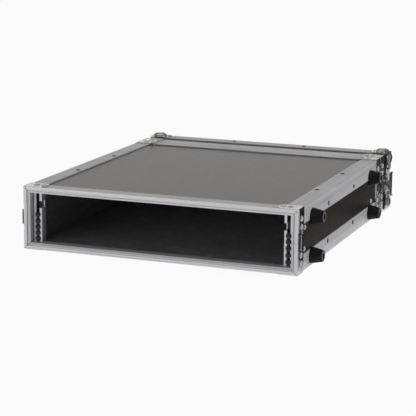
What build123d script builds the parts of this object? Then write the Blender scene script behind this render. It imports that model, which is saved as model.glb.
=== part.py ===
from build123d import *
import os

# Rack flight case for two panel heights, front cover off and rear cover on.
# Sizes are in millimetres. The solids are drawn in the case frame: X across from the
# centre plane, Y back from the front face, Z up from the underside of the panels' skins.

# Rack opening
rack_panel_width = 482.6
panel_rise = 44.45
panel_count = 2
panel_side_play = 0.5
panel_height_play = 0.35

# Walls
skin = 2.0
board = 7.0
board_play = 0.2
board_end_play = 0.5

# Overall depths
body_depth = 531.0
lid_depth = 82.0
seam_gap = 0.3

# Frame extrusions around the openings
outer_flange = 27.0
inner_flange = 22.0
channel_floor = 6.0
nose_outer = 5.4
groove_width = 2.4
groove_depth = 2.4
slope_front = 0.6
slope_rear = 2.8
tongue_play = 0.2

# Edge angles
angle_leg = 30.0
angle_round = 1.5

# Corner braces
brace_thickness = 1.3
brace_width = 28.0
brace_leg = 39.0
brace_setback = 1.5
brace_round = 9.0

# Ball corners of the lid
ball_radius = 20.0
ball_inset = 13.0
ball_inset_height = 11.0
ball_flat = 7.5
ball_sheet = 1.5
ball_pad = 34.0
ball_pad_round = 14.0

# Rack rails
rail_width = 15.4
rail_depth = 15.0
rail_wall = 1.8
rail_slot = 6.5
rail_slot_inset = 8.75
rail_setback = 14.5
rear_rail_setback = 23.0
rail_flange = 25.0
rail_end_play = 0.3
notch_bottom = 72.0
notch_height = 12.5
notch_depth = 11.5

# Rack screws and slide nuts
screw_diameter = 5.9
screw_head = 10.0
screw_head_height = 3.6
screw_length = 12.0
screw_recess = 1.4
screw_recess_depth = 1.4
nut_width = 11.0
nut_height = 9.6
nut_thickness = 4.0
nut_bore_play = 0.1
left_screw_heights = (16.9, 27.2, 37.9, 48.2, 59.9)
right_screw_heights = (18.6, 29.8, 41.8, 53.0, 63.2)

# Latch keepers
keeper_sheet = 1.3
keeper_height = 32.0
keeper_depth = 17.0
keeper_setback = 2.0
keeper_bar_height = 26.5
keeper_bar_depth = 7.0
keeper_bar_offset = 3.0
keeper_bar_sheet = 2.0
keeper_bar_top = 5.8
keeper_leg = 2.6
keeper_slot = 3.0
keeper_slot_inset = 3.0
keeper_corner = 2.5
keeper_bar_round = 1.6

# Rubber feet
foot_base = 28.5
foot_tip = 20.0
foot_height = 22.0
foot_round = 2.0
foot_rim = 2.0
foot_recess = 10.4
foot_recess_depth = 12.0
foot_inset_front = 80.0
foot_inset_rear = 72.0
foot_low = 18.3
foot_high = 86.3
foot_screw = 6.0
foot_screw_play = 0.2
foot_screw_head = 9.0
foot_screw_head_height = 3.0

# Carrying handle
handle_sheet = 1.5
handle_plate_length = 140.0
handle_plate_play = 1.0
handle_span = 88.0
handle_rod = 8.0
handle_sleeve = 15.0
handle_sleeve_length = 62.0
handle_drop = 30.0
handle_bend = 9.0
handle_stub_bend = 4.2
handle_stub = 1.0
handle_sleeve_round = 1.5
handle_pivot_rise = 16.0
handle_ear = 5.0
handle_ear_radius = 6.5
handle_corner = 6.0
handle_ear_gap = 1.0
handle_play = 0.05

# Twist latches of the lid
latch_sheet = 1.5
latch_plate_height = 33.0
latch_plate_length = 58.0
latch_plate_gap = 3.0
latch_plate_corner = 5.0
latch_axis = 25.0
latch_boss = 22.0
latch_boss_draft = 3.0
latch_boss_top = 7.0
spindle_diameter = 10.0
spindle_play = 0.05
spindle_head = 16.0
spindle_head_height = 1.6
eccentric_pin = 6.0
eccentric_throw = 3.0
eccentric_play = 0.85
hook_thickness = 2.0
hook_width = 15.0
hook_end = 1.5
hook_gap = 0.3
hook_lip_depth = 2.6
hook_lip_reach = 1.0
wing_sheet = 1.8
wing_width = 48.0
wing_length = 20.0
wing_corner = 6.0
wing_pin = 2.6
wing_play = 0.05
wing_lug_length = 8.0
wing_lug_width = 4.6
wing_knuckle = 2.4
wing_knuckle_length = 4.0
wing_curl = 3.0
wing_curl_inset = 6.0

# Worked-out sizes
wall = skin + board + board_play + skin
opening_width = rack_panel_width + 2 * panel_side_play
opening_height = panel_count * panel_rise + 2 * panel_height_play
width = opening_width + 2 * wall
height = opening_height + 2 * wall
half = width / 2
middle = height / 2
inner_side = half - skin - board
inner_low = skin + board
inner_high = height - inner_low
lid_front = body_depth + seam_gap
lid_rear = lid_front + lid_depth
ball_proud = ball_radius - ball_inset
rail_slot_centre = rack_panel_width / 2 - rail_slot_inset
handle_pivot_out = skin + foot_height - handle_sleeve / 2
centre_depth = (lid_rear + ball_proud) / 2
latch_y = lid_front + latch_axis
foot_y_front = foot_inset_front
foot_y_rear = body_depth - foot_inset_rear
case_to_part = Pos(0, -centre_depth, ball_flat)
sides = ("top", "bottom", "left", "right")
level_plane = Plane.XY.offset(middle)


def block(x0, x1, y0, y1, z0, z1):
    """A box given by its low and high corner."""
    size = (x1 - x0, y1 - y0, z1 - z0)
    return Pos(x0, y0, z0) * Box(*size, align=(Align.MIN, Align.MIN, Align.MIN))


def section(points):
    """A flat face inside a closed outline."""
    return make_face(Polyline(*points, close=True))


def across(shape):
    """The same shape on the other side of the centre plane."""
    return mirror(shape, about=Plane.YZ)


def upside_down(shape):
    """The same shape mirrored about the case's mid height."""
    return mirror(shape, about=level_plane)


def front_to_back(shape):
    """The same shape mirrored about the body's mid depth."""
    return mirror(shape, about=Plane.XZ.offset(-body_depth / 2))


def four_corners(shape):
    """A piece of the upper right corner, and its copies at the other three."""
    low = upside_down(shape)
    return [shape, low, across(shape), across(low)]


def save(name, *shapes):
    """Writes one node, moved from the case frame to the part's own frame."""
    placed = [case_to_part * shape for shape in shapes]
    solids = [solid for shape in placed for solid in shape.solids()]
    whole = solids[0] if len(solids) == 1 else Compound(solids)
    export_step(whole, f"parts/{name}.step")


def mitred_ring(profile, reach):
    """Four members round the case, mitred at the corners.

    The profile lists (depth, distance in from the outer face) and reach is the
    largest distance in.
    """
    span = lid_rear
    top_face = section([(depth, height - inward) for depth, inward in profile])
    top = extrude(Plane.YZ * top_face, amount=half, both=True)
    top_ends = section([
        (-half, height),
        (half, height),
        (half - reach, height - reach),
        (reach - half, height - reach),
    ])
    top = top & extrude(Plane.XZ * top_ends, amount=span, both=True)
    right_face = section([(half - inward, depth) for depth, inward in profile])
    right = extrude(right_face, amount=height)
    right_ends = section([
        (half, 0),
        (half, height),
        (half - reach, height - reach),
        (half - reach, reach),
    ])
    right = right & extrude(Plane.XZ * right_ends, amount=span, both=True)
    return dict(zip(sides, (top, upside_down(top), across(right), right)))


def groove_profile():
    """The body's extrusion: a channel for the board behind a grooved, sloping nose."""
    groove_end = nose_outer + groove_width
    inner_skin = wall - skin
    return [
        (0, 0),
        (outer_flange, 0),
        (outer_flange, skin),
        (channel_floor, skin),
        (channel_floor, inner_skin),
        (inner_flange, inner_skin),
        (inner_flange, wall),
        (slope_rear, wall),
        (slope_front, groove_end),
        (groove_depth, groove_end),
        (groove_depth, nose_outer),
        (0, nose_outer),
    ]


def tongue_profile():
    """The lid's extrusion: the same channel behind a tongue that enters the groove."""
    tongue_start = nose_outer + tongue_play
    tongue_end = nose_outer + groove_width - tongue_play
    tongue_length = groove_depth - tongue_play + seam_gap
    inner_skin = wall - skin
    shape = [
        (0, 0),
        (outer_flange, 0),
        (outer_flange, skin),
        (channel_floor, skin),
        (channel_floor, inner_skin),
        (inner_flange, inner_skin),
        (inner_flange, wall),
        (0, wall),
        (0, tongue_end),
        (-tongue_length, tongue_end),
        (-tongue_length, tongue_start),
        (0, tongue_start),
    ]
    return [(lid_front + depth, inward) for depth, inward in shape]


def lid_angle_profile():
    """The angle round the lid's rear edges."""
    return [
        (lid_rear, 0),
        (lid_rear - angle_leg, 0),
        (lid_rear - angle_leg, skin),
        (lid_rear - skin, skin),
        (lid_rear - skin, angle_leg),
        (lid_rear, angle_leg),
    ]


def edge_angle():
    """The angle along the body's upper right edge, between the two frames."""
    face = section([
        (half, height),
        (half - angle_leg, height),
        (half - angle_leg, height - skin),
        (half - skin, height - skin),
        (half - skin, height - angle_leg),
        (half, height - angle_leg),
    ])
    run = body_depth - 2 * outer_flange
    angle = Pos(0, outer_flange + run, 0) * extrude(Plane.XZ * face, amount=run)
    edge = angle.edges().filter_by(Axis.Y).group_by(Axis.Z)[-1].sort_by(Axis.X)[-1]
    return fillet(edge, angle_round)


def level_board(y0, y1):
    """A top board, as wide as the skins allow, from y0 to y1."""
    edge = half - skin
    return block(-edge, edge, y0, y1, inner_high, height - skin)


def upright_board(y0, y1):
    """A right side board between the top and bottom boards, from y0 to y1."""
    return block(inner_side, half - skin, y0, y1, inner_low, inner_high)


def foot_places():
    """Foot centres on the right side as (Y, Z)."""
    return [(y, z) for y in (foot_y_front, foot_y_rear) for z in (foot_low, foot_high)]


def foot_holes():
    """Clearance holes for the foot screws through the right wall."""
    radius = (foot_screw + foot_screw_play) / 2
    hole = Rot(0, 90, 0) * Cylinder(radius, 3 * wall)
    return [Pos(half, y, z) * hole for y, z in foot_places()]


def rubber_foot(y, z):
    """A tapered foot with a screw recess in its tip."""
    base = foot_base / 2
    tip = foot_tip / 2
    bore = (foot_screw + foot_screw_play) / 2
    face = section([
        (0, bore),
        (0, base),
        (foot_rim, base),
        (foot_height, tip),
        (foot_height, foot_recess / 2),
        (foot_height - foot_recess_depth, foot_recess / 2),
        (foot_height - foot_recess_depth, bore),
    ])
    rim = face.vertices().group_by(Axis.X)[-1].sort_by(Axis.Y)[-1]
    face = fillet(rim, foot_round)
    return Pos(half, y, z) * revolve(face, Axis.X)


def foot_fixing(y, z):
    """The screw that holds a foot, from the recess floor to the board's inner face."""
    seat = foot_height - foot_recess_depth
    end = inner_side - half
    face = section([
        (end, 0),
        (end, foot_screw / 2),
        (seat, foot_screw / 2),
        (seat, foot_screw_head / 2),
        (seat + foot_screw_head_height * 0.6, foot_screw_head / 2),
        (seat + foot_screw_head_height, foot_screw_head / 4),
        (seat + foot_screw_head_height, 0),
    ])
    return Pos(half, y, z) * revolve(face, Axis.X)


def corner_brace():
    """The bent strap over the front frame's upper right corner."""
    near = brace_setback
    far = brace_setback + brace_width
    out = half + brace_thickness
    over = height + brace_thickness
    brace = block(half - brace_leg, out, near, far, height, over)
    brace += block(half, out, near, far, height - brace_leg, over)
    ends = brace.edges().filter_by(Axis.Z).group_by(Axis.X)[0]
    ends += brace.edges().filter_by(Axis.X).group_by(Axis.Z)[0]
    brace = fillet(ends, brace_round)
    bend = brace.edges().filter_by(Axis.Y).group_by(Axis.Z)[-1].sort_by(Axis.X)[-1]
    return fillet(bend, brace_thickness * 0.9)


def under_level(top):
    """Everything about the case that lies below a height."""
    return block(-width, width, 0, 2 * lid_rear, 0, top)


def ball_corner():
    """The pressed corner of the lid: three pads and a hollow ball."""
    lid = block(0, half, 0, lid_rear, 0, height)
    cap = block(
        half - ball_pad, half + ball_sheet,
        lid_rear - ball_pad, lid_rear + ball_sheet,
        height - ball_pad, height + ball_sheet,
    )
    cap -= lid
    ends = cap.edges().filter_by(Axis.Z).group_by(Axis.X)[0].group_by(Axis.Y)[0]
    ends += cap.edges().filter_by(Axis.X).group_by(Axis.Y)[0].group_by(Axis.Z)[0]
    ends += cap.edges().filter_by(Axis.Y).group_by(Axis.X)[0].group_by(Axis.Z)[0]
    cap = fillet(ends, ball_pad_round)
    centre = Pos(half - ball_inset, lid_rear - ball_inset, height - ball_inset_height)
    ball = centre * Sphere(ball_radius) & under_level(height + ball_flat)
    hollow = centre * Sphere(ball_radius - ball_sheet)
    hollow = hollow & under_level(height + ball_flat - ball_sheet)
    return cap + ball - hollow - lid


def rack_rail():
    """The right front rail: a slotted channel with a flange along the side wall."""
    centre = rail_slot_centre
    inner = centre - rail_width / 2
    outer = centre + rail_width / 2
    slot_in = centre - rail_slot / 2
    slot_out = centre + rail_slot / 2
    front = rail_setback
    back = rail_setback + rail_depth
    tail = back + rail_flange
    face = section([
        (inner, front),
        (slot_in, front),
        (slot_in, front + rail_wall),
        (inner + rail_wall, front + rail_wall),
        (inner + rail_wall, back - rail_wall),
        (outer - rail_wall, back - rail_wall),
        (outer - rail_wall, front + rail_wall),
        (slot_out, front + rail_wall),
        (slot_out, front),
        (outer, front),
        (outer, back - rail_wall),
        (inner_side, back - rail_wall),
        (inner_side, tail),
        (inner_side - rail_wall, tail),
        (inner_side - rail_wall, back),
        (inner, back),
    ])
    low = wall + rail_end_play
    rail = Pos(0, 0, low) * extrude(face, amount=height - 2 * low)
    notch_top = notch_bottom + notch_height
    notch_back = front + notch_depth
    over = rail_wall / 2
    return rail - block(
        inner - over, slot_in + over, front - over, notch_back, notch_bottom, notch_top,
    )


def rear_rail():
    """The right rear rail, the same section facing the rear opening."""
    shift = rear_rail_setback - rail_setback
    return Pos(0, -shift, 0) * front_to_back(rack_rail())


def rack_screw():
    """A domed screw with its seat at the origin, its head towards -Y."""
    radius = screw_head / 2
    shank = screw_diameter / 2
    rim = screw_head_height / 3
    face = section([
        (0, screw_recess_depth - screw_head_height),
        (0, screw_length),
        (shank, screw_length),
        (shank, 0),
        (radius, 0),
        (radius, -rim),
        (radius * 0.88, -2 * rim),
        (radius * 0.6, -screw_head_height * 0.93),
        (screw_recess, -screw_head_height),
    ])
    return revolve(face, Axis.Y)


def slide_nut():
    """A square nut behind the slot's lips, centred on the screw's axis."""
    seat = rail_wall
    side = nut_width / 2
    rise = nut_height / 2
    nut = block(-side, side, seat, seat + nut_thickness, -rise, rise)
    bore = Rot(90, 0, 0) * Cylinder((screw_diameter + nut_bore_play) / 2, 4 * nut_thickness)
    return nut - bore


def screw_places():
    """Where the screws stand in the two front rails."""
    side = rail_slot_centre
    left = [Pos(-side, rail_setback, z) for z in left_screw_heights]
    right = [Pos(side, rail_setback, z) for z in right_screw_heights]
    return left + right


def latch_keeper():
    """The front right keeper: a base plate with a slotted bar raised off it."""
    low = middle - keeper_height / 2
    high = middle + keeper_height / 2
    near = keeper_setback
    keeper = block(half, half + keeper_sheet, near, near + keeper_depth, low, high)
    keeper = fillet(keeper.edges().filter_by(Axis.X), keeper_corner)
    bar_low = middle - keeper_bar_height / 2
    bar_high = middle + keeper_bar_height / 2
    bar_near = near + keeper_bar_offset
    bar_far = bar_near + keeper_bar_depth
    top = half + keeper_bar_top
    bar = block(half + keeper_sheet, top, bar_near, bar_far, bar_low, bar_high)
    bar = fillet(bar.edges().filter_by(Axis.Y).group_by(Axis.X)[-1], keeper_bar_round)
    under = top - keeper_bar_sheet
    tunnel_low = bar_low + keeper_leg
    tunnel_high = bar_high - keeper_leg
    bar -= block(half + keeper_sheet, under, bar_near, bar_far, tunnel_low, tunnel_high)
    slot = keeper_slot / 2
    slot_near = (bar_near + bar_far) / 2 - slot
    bar -= block(
        under, top, slot_near, slot_near + keeper_slot,
        tunnel_low + keeper_slot_inset, tunnel_high - keeper_slot_inset,
    )
    return keeper + bar


def latch_plate():
    """The right latch's base plate with the spindle's boss."""
    near = lid_front + latch_plate_gap
    low = middle - latch_plate_height / 2
    far = near + latch_plate_length
    plate = block(half, half + latch_sheet, near, far, low, low + latch_plate_height)
    plate = fillet(plate.edges().filter_by(Axis.X), latch_plate_corner)
    place = Pos(half, latch_y, middle) * Rot(0, 90, 0)
    low_boss = (Align.CENTER, Align.CENTER, Align.MIN)
    boss = Cone(latch_boss / 2, latch_boss / 2 - latch_boss_draft, latch_boss_top, align=low_boss)
    bore = Cylinder(spindle_diameter / 2 + spindle_play, 4 * latch_boss_top)
    return plate + place * boss - place * bore


def wing_axis():
    """How far the wing's hinge pin stands off the lid's side face."""
    head_low = latch_boss_top + hook_gap + hook_thickness + hook_gap
    return head_low + spindle_head_height + hook_gap + wing_knuckle


def latch_spindle():
    """The right spindle: shaft, eccentric pin, head and the lug that carries the wing."""
    head_low = latch_boss_top + hook_gap + hook_thickness + hook_gap
    head_high = head_low + spindle_head_height
    axis = wing_axis()
    low = (Align.CENTER, Align.CENTER, Align.MIN)
    turn = Pos(half, latch_y, middle) * Rot(0, 90, 0)
    shaft = Pos(0, 0, hook_gap) * Cylinder(spindle_diameter / 2, latch_boss_top, align=low)
    pin_place = Pos(0, eccentric_throw, latch_boss_top)
    pin = pin_place * Cylinder(eccentric_pin / 2, head_high - latch_boss_top, align=low)
    head = Pos(0, 0, head_low) * Cylinder(spindle_head / 2, spindle_head_height, align=low)
    lug = block(
        half + head_low, half + axis + wing_lug_width / 2,
        latch_y - wing_lug_width / 2, latch_y + wing_lug_width / 2,
        middle - wing_lug_length / 2, middle + wing_lug_length / 2,
    )
    lug = fillet(lug.edges().filter_by(Axis.Z).group_by(Axis.X)[-1], wing_lug_width * 0.45)
    bore = Pos(half + axis, latch_y, middle) * Cylinder(wing_pin / 2 + wing_play, 2 * wing_lug_length)
    return turn * (shaft + pin + head) + lug - bore


def latch_hook():
    """The right hook: a strap with a slot for the eccentric pin and a turned-in lip."""
    low = half + latch_boss_top + hook_gap
    high = low + hook_thickness
    bar_far = body_depth - keeper_setback - keeper_bar_offset - keeper_bar_depth
    tip = bar_far - hook_lip_reach - hook_lip_depth
    end = latch_y + eccentric_throw + hook_width / 2 + hook_end
    edge = hook_width / 2
    strap = block(low, high, tip, end, middle - edge, middle + edge)
    strap = fillet(strap.edges().filter_by(Axis.X).group_by(Axis.Y)[-1], hook_width * 0.47)
    lip_low = half + keeper_bar_top + hook_gap
    strap += block(lip_low, low, tip, tip + hook_lip_depth, middle - edge, middle + edge)
    slot_width = eccentric_pin + 2 * eccentric_play
    slot_height = eccentric_pin + 2 * eccentric_throw + 2 * hook_gap
    slot_y = latch_y + eccentric_throw
    slot = block(
        low, high,
        slot_y - slot_width / 2, slot_y + slot_width / 2,
        middle - slot_height / 2, middle + slot_height / 2,
    )
    slot = fillet(slot.edges().filter_by(Axis.X), slot_width * 0.45)
    return strap - slot


def latch_wing():
    """The right wing, folded flat towards the rear, with its hinge pin."""
    axis_x = half + wing_axis()
    lug_edge = wing_lug_length / 2 + hook_gap
    knuckle_end = lug_edge + wing_knuckle_length
    low = axis_x - wing_sheet / 2
    high = axis_x + wing_sheet / 2
    near = latch_y + wing_knuckle + hook_gap
    far = latch_y + wing_length
    edge = wing_width / 2
    plate = block(low, high, near, far, middle - edge, middle + edge)
    plate = fillet(plate.edges().filter_by(Axis.X), wing_corner)
    curl = block(
        low, high + wing_curl, near + wing_curl_inset, far - wing_curl_inset,
        middle + edge - wing_sheet, middle + edge,
    )
    knuckle = Pos(axis_x, latch_y, middle + (lug_edge + knuckle_end) / 2)
    knuckle = knuckle * Cylinder(wing_knuckle, wing_knuckle_length)
    arm = block(low, high, latch_y, near + wing_sheet, middle + lug_edge, middle + knuckle_end)
    upper = curl + knuckle + arm
    pin = Pos(axis_x, latch_y, middle) * Cylinder(wing_pin / 2, 2 * knuckle_end)
    return plate + upper + upside_down(upper) + pin


def handle_pivot():
    """The handle's pivot as (distance out from the centre plane, Z)."""
    return half - skin + handle_pivot_out, middle + handle_pivot_rise


def handle_plate():
    """The handle's base plate with two pivot ears, drawn on the right for mirroring."""
    face = half - skin
    low = angle_leg + handle_plate_play
    high = height - low
    near = body_depth / 2 - handle_plate_length / 2
    plate = block(face, face + handle_sheet, near, near + handle_plate_length, low, high)
    plate = fillet(plate.edges().filter_by(Axis.X), handle_corner)
    out, rise = handle_pivot()
    ear_offset = handle_span / 2 + handle_rod / 2 + handle_ear_gap + handle_ear / 2
    for centre in (body_depth / 2 - ear_offset, body_depth / 2 + ear_offset):
        ear = block(
            face + handle_sheet, out,
            centre - handle_ear / 2, centre + handle_ear / 2,
            rise - handle_ear_radius, rise + handle_ear_radius,
        )
        plate += ear
        plate += Pos(out, centre, rise) * Rot(90, 0, 0) * Cylinder(handle_ear_radius, handle_ear)
    bore = Rot(90, 0, 0) * Cylinder(handle_rod / 2 + handle_play, 2 * handle_plate_length)
    return plate - Pos(out, body_depth / 2, rise) * bore


def handle_bail():
    """The handle's bent rod, hanging down at rest, drawn on the right for mirroring."""
    out, rise = handle_pivot()
    reach = handle_span / 2
    end = reach + handle_rod / 2 + handle_ear_gap + handle_ear + handle_stub
    mid = body_depth / 2
    path = FilletPolyline(
        (out, mid - end, rise),
        (out, mid - reach, rise),
        (out, mid - reach, rise - handle_drop),
        (out, mid + reach, rise - handle_drop),
        (out, mid + reach, rise),
        (out, mid + end, rise),
        radius=[handle_stub_bend, handle_bend, handle_bend, handle_stub_bend],
    )
    start = Plane(origin=(out, mid - end, rise), z_dir=(0, 1, 0))
    return sweep(start * Circle(handle_rod / 2), path=path)


def handle_grip():
    """The soft sleeve on the rod, drawn on the right for mirroring."""
    out, rise = handle_pivot()
    place = Pos(out, body_depth / 2, rise - handle_drop) * Rot(90, 0, 0)
    sleeve = Cylinder(handle_sleeve / 2, handle_sleeve_length)
    sleeve = fillet(sleeve.edges(), handle_sleeve_round)
    return place * (sleeve - Cylinder(handle_rod / 2, handle_sleeve_length))


def build_body():
    """The case's own boards, frames, angles, braces and keepers."""
    board_near = channel_floor + board_end_play
    board_far = body_depth - board_near
    holes = foot_holes()
    top = level_board(board_near, board_far)
    right = upright_board(board_near, board_far)
    save("top_panel", top)
    save("bottom_panel", upside_down(top))
    save("left_panel", across(right))
    save("right_panel", right - holes)
    angle = edge_angle()
    save("edge_angle_top_right", angle - holes)
    save("edge_angle_bottom_right", upside_down(angle) - holes)
    save("edge_angle_top_left", across(angle))
    save("edge_angle_bottom_left", across(upside_down(angle)))
    for side, member in mitred_ring(groove_profile(), wall).items():
        save(f"front_frame_{side}", member)
        save(f"rear_frame_{side}", front_to_back(member))
    braces = four_corners(corner_brace())
    save("front_corner_braces", *braces)
    save("rear_corner_braces", *[front_to_back(brace) for brace in braces])
    keeper = latch_keeper()
    keepers = [keeper, across(keeper)]
    save("front_latch_keepers", *keepers)
    save("rear_latch_keepers", *[front_to_back(piece) for piece in keepers])


def build_rack():
    """Rails, screws and slide nuts."""
    rail = rack_rail()
    save("rack_rail_front_right", rail)
    save("rack_rail_front_left", across(rail))
    rail = rear_rail()
    save("rack_rail_rear_right", rail)
    save("rack_rail_rear_left", across(rail))
    screw = rack_screw()
    nut = slide_nut()
    save("rack_screws", *[place * screw for place in screw_places()])
    save("slide_nuts", *[place * nut for place in screw_places()])


def build_feet():
    """The rubber feet on the right side and their screws."""
    names = ("front_bottom", "front_top", "rear_bottom", "rear_top")
    for name, (y, z) in zip(names, foot_places()):
        save(f"rubber_foot_{name}", rubber_foot(y, z))
    save("foot_screws", *[foot_fixing(y, z) for y, z in foot_places()])


def build_handle():
    """The folding handle on the left side."""
    save("handle_plate", across(handle_plate()))
    save("handle_bail", across(handle_bail()))
    save("handle_grip", across(handle_grip()))


def build_lid():
    """The rear lid's boards, frame, angles, corners and braces."""
    board_near = lid_front + channel_floor + board_end_play
    back = lid_rear - skin - board
    top = level_board(board_near, back)
    right = upright_board(board_near, back)
    save("lid_board_top", top)
    save("lid_board_bottom", upside_down(top))
    save("lid_board_right", right)
    save("lid_board_left", across(right))
    save("lid_back_panel", block(skin - half, half - skin, back, lid_rear - skin, skin, height - skin))
    for side, member in mitred_ring(tongue_profile(), wall).items():
        save(f"lid_frame_{side}", member)
    for side, member in mitred_ring(lid_angle_profile(), angle_leg).items():
        save(f"lid_angle_{side}", member)
    names = ("top_right", "bottom_right", "top_left", "bottom_left")
    for name, corner in zip(names, four_corners(ball_corner())):
        save(f"ball_corner_{name}", corner)
    brace = Pos(0, lid_front, 0) * corner_brace()
    save("lid_corner_braces", *four_corners(brace))


def build_latches():
    """The twist latches on both sides of the lid."""
    pieces = {
        "latch_plate": latch_plate(),
        "latch_spindle": latch_spindle(),
        "latch_hook": latch_hook(),
        "latch_wing": latch_wing(),
    }
    for name, piece in pieces.items():
        save(f"{name}_right", piece)
        save(f"{name}_left", across(piece))


os.makedirs("parts", exist_ok=True)
build_body()
build_rack()
build_feet()
build_handle()
build_lid()
build_latches()
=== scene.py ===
import math

import bmesh
import bpy
from mathutils import Matrix, Vector


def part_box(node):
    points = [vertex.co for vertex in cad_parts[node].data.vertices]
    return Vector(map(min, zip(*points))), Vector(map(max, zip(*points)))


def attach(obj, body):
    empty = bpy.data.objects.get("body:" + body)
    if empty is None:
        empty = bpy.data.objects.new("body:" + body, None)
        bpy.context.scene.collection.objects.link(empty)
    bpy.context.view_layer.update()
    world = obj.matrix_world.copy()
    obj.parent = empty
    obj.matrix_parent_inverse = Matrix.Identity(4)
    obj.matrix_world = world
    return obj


bl_info = {
    "name": "Rack Flight Case",
    "version": (1, 0, 0),
    "blender": (4, 5, 0),
    "location": "View3D > Sidebar > Rack Case",
    "description": "Dresses a shallow rack flight case: finishes, rivets, fixings and a studio",
    "category": "Object",
}

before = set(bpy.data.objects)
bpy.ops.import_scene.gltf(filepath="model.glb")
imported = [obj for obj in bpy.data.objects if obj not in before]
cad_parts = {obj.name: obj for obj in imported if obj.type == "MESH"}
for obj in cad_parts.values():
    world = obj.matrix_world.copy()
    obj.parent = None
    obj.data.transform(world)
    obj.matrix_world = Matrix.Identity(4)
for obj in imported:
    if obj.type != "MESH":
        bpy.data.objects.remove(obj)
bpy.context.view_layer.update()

MM = 0.001

# Faces of the case, read from the frame's nodes
front_low, front_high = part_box("front_frame_top")
CASE_SIDE = front_high.x
CASE_TOP = front_high.z
CASE_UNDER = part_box("front_frame_bottom")[0].z
CASE_MIDDLE = (CASE_TOP + CASE_UNDER) / 2
CASE_FRONT = front_low.y
BODY_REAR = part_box("rear_frame_top")[1].y
BODY_MIDDLE = (CASE_FRONT + BODY_REAR) / 2
LID_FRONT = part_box("lid_frame_right")[1].y - (front_high.y - front_low.y)
LID_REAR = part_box("lid_angle_top")[1].y
BOARD_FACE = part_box("right_panel")[1].x
FOOT_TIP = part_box("rubber_foot_front_top")[1].x

# The rack rails' channels
RAIL_WALL = 1.8 * MM
RAIL_WIDTH = 15.4 * MM
RAIL_DEPTH = 15 * MM
RAIL_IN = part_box("rack_rail_front_right")[0].x
RAIL_OUT = RAIL_IN + RAIL_WIDTH
RAIL_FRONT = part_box("rack_rail_front_right")[0].y
REAR_RAIL_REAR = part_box("rack_rail_rear_right")[1].y

# Sheets that the rivets stand on
SKIN = 2 * MM
BRACE_SHEET = 1.3 * MM
PLATE_SHEET = 1.5 * MM

# Marks on the front frame: the mitres, a pin in each upper one and a joint in the right post
MITRE_WIDTH = 0.4 * MM
PIN_INSET = 3.9 * MM
PIN_RADIUS = 1.25 * MM
POST_JOINT_LOW = CASE_UNDER + 53.9 * MM
POST_JOINT_HIGH = CASE_UNDER + 54.4 * MM

# Rows of rivets, as distances from the case's edges, front or underside
BRACE_RIVET_STEPS = (18 * MM, 32 * MM)
RAIL_RIVET_DEPTHS = (44.5 * MM, 478 * MM)
RAIL_RIVET_LEVELS = (36.6 * MM, 73.8 * MM)
BALL_RIVET_SPOTS = ((25.6 * MM, 25.6 * MM), (29.8 * MM, 5.6 * MM), (5.6 * MM, 29.8 * MM))
BALL_RIVET_SHARE = 0.8
PLATE_RIVET_SHARE = 0.85

# The floor glows to the camera and in mirrors, and ends in mirrors beyond the case's right side
FLOOR_SIZE = 12.0
FLOOR_GLOW = 0.93
TABLE_EDGE_START = CASE_SIDE + 5 * MM
TABLE_EDGE_END = CASE_SIDE + 35 * MM

# Strength of the world's light on plain surfaces, and of the white that the camera sees
AMBIENT = 0.32
WHITE = 1.0

# The studio that mirrors see: start and end of each change along a direction, and the values there
STUDIO_DEPTH = (-0.6, 0.35, 0.40, 0.88)
STUDIO_CEILING = (0.14, 0.52, 1.0, 0.22)
STUDIO_RIGHT = (0.25, 0.80, 1.0, 0.30)
STUDIO_WARMTH = (-0.4, 0.5, 0.0, 1.0)
SCREEN_FADE = (0.71, 0.90, 1.0, 0.04)
COOL_WALL = (0.985, 0.99, 1.0)
WARM_WALL = (1.0, 0.965, 0.935)

# Camera at the photograph's angle, fitted to its edges
CAMERA_PLACE = (1.0095, CASE_FRONT - 2.44633, CASE_UNDER + 0.65488)
CAMERA_RIGHT = (0.93568, 0.35269, 0.01071)
CAMERA_AHEAD = (-0.34299, 0.91623, -0.20706)
CAMERA_LENS = 137.17

# Directions of the two dark screens that the right side mirrors
SCREENS = ((0.40, 0.89, -0.20), (0.69, -0.70, -0.18))


def length(name, millimetres, words):
    """A size in metres with a default given in millimetres."""
    return bpy.props.FloatProperty(
        name=name, description=words, default=millimetres * MM, unit="LENGTH", min=0.0, precision=5,
    )


def colour(name, value, words):
    """A linear colour."""
    return bpy.props.FloatVectorProperty(
        name=name, description=words, default=value, subtype="COLOR", size=3, min=0.0, max=1.0,
    )


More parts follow.
